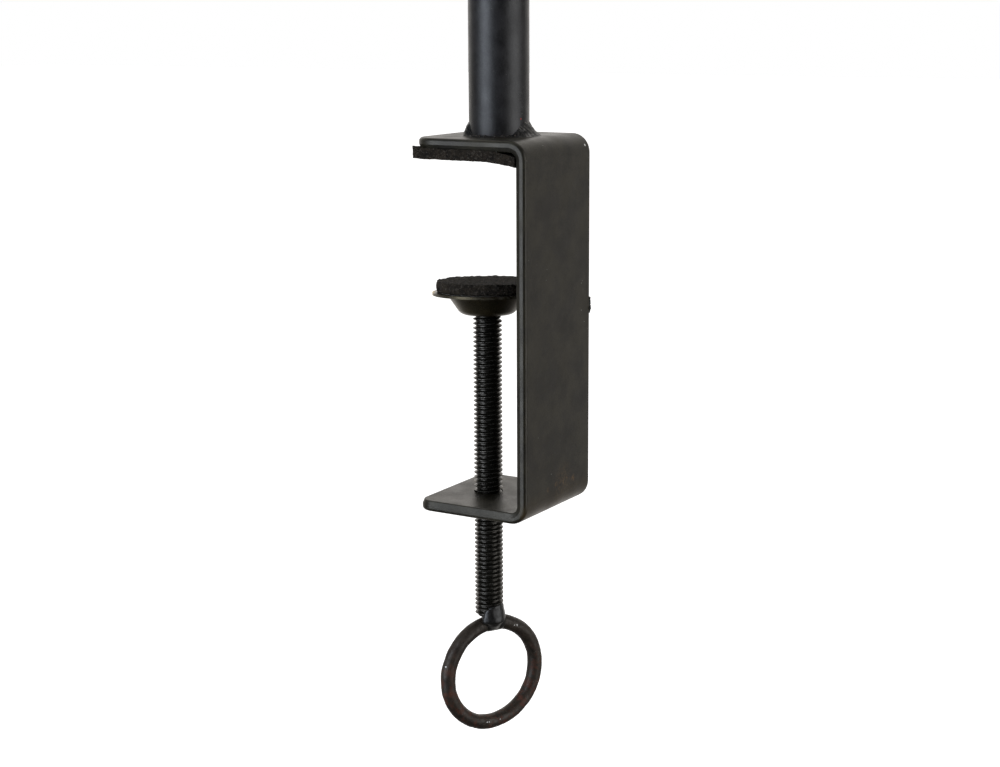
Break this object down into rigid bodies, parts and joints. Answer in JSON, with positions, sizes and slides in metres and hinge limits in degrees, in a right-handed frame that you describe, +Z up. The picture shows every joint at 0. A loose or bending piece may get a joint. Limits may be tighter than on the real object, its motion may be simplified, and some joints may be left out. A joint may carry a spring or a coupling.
{
  "type": "desk lamp table clamp",
  "caption": "C-shaped steel table clamp with a welded lamp post, screw spindle with ring handle, tilting pressure cup and foam pads.",
  "frame": {"origin": "where the post's axis meets the clamping plane, the underside of the upper foam pad", "axes": "+Z up along the post and the spindle, -X out of the clamp's mouth, +Y along the bracket's width"},
  "size_m": [0.0369, 0.035, 0.2275],
  "materials": {
    "black_coat": "satin black powder coat",
    "black_steel": "blackened, lightly oiled steel",
    "worn_ring": "thin black paint with rust showing through",
    "zinc": "zinc plated",
    "foam": "black cellular foam rubber",
    "tape": "double-sided tape",
    "nylon": "black nylon"
  },
  "bodies": {
    "frame": {"clamp_bracket": "black_coat", "post_tube": "black_coat", "post_weld_front": "black_coat", "post_weld_rear": "black_coat", "socket_bush": "nylon", "upper_foam_pad": "foam", "upper_pad_tape": "tape"},
    "washer": {"thrust_washer": "zinc"},
    "screw": {"spindle": "black_steel", "ring_handle": "worn_ring", "ring_weld": "worn_ring"},
    "cup": {"pressure_cup": "black_coat", "lower_pad_tape": "tape", "lower_foam_pad": "foam"}
  },
  "joints": [
    {"name": "clamp_travel", "type": "slide", "parent": "frame", "child": "washer", "axis": [0, 0, 1], "range_m": [-0.048, 0.026]},
    {"name": "spindle_turn", "type": "hinge", "parent": "washer", "child": "screw", "pos_m": [-0.004, 0, -0.09445], "axis": [0, 0, 1], "range_deg": [-13825, 7489]},
    {"name": "cup_tilt", "type": "hinge", "parent": "washer", "child": "cup", "pos_m": [-0.004, 0, -0.0421], "axis": [0.8572, 0.515, 0], "range_deg": [0, 5.6]}
  ],
  "couplings": [
    {"joint": "spindle_turn", "follows": "clamp_travel", "rad_per_m": 5026.5}
  ]
}
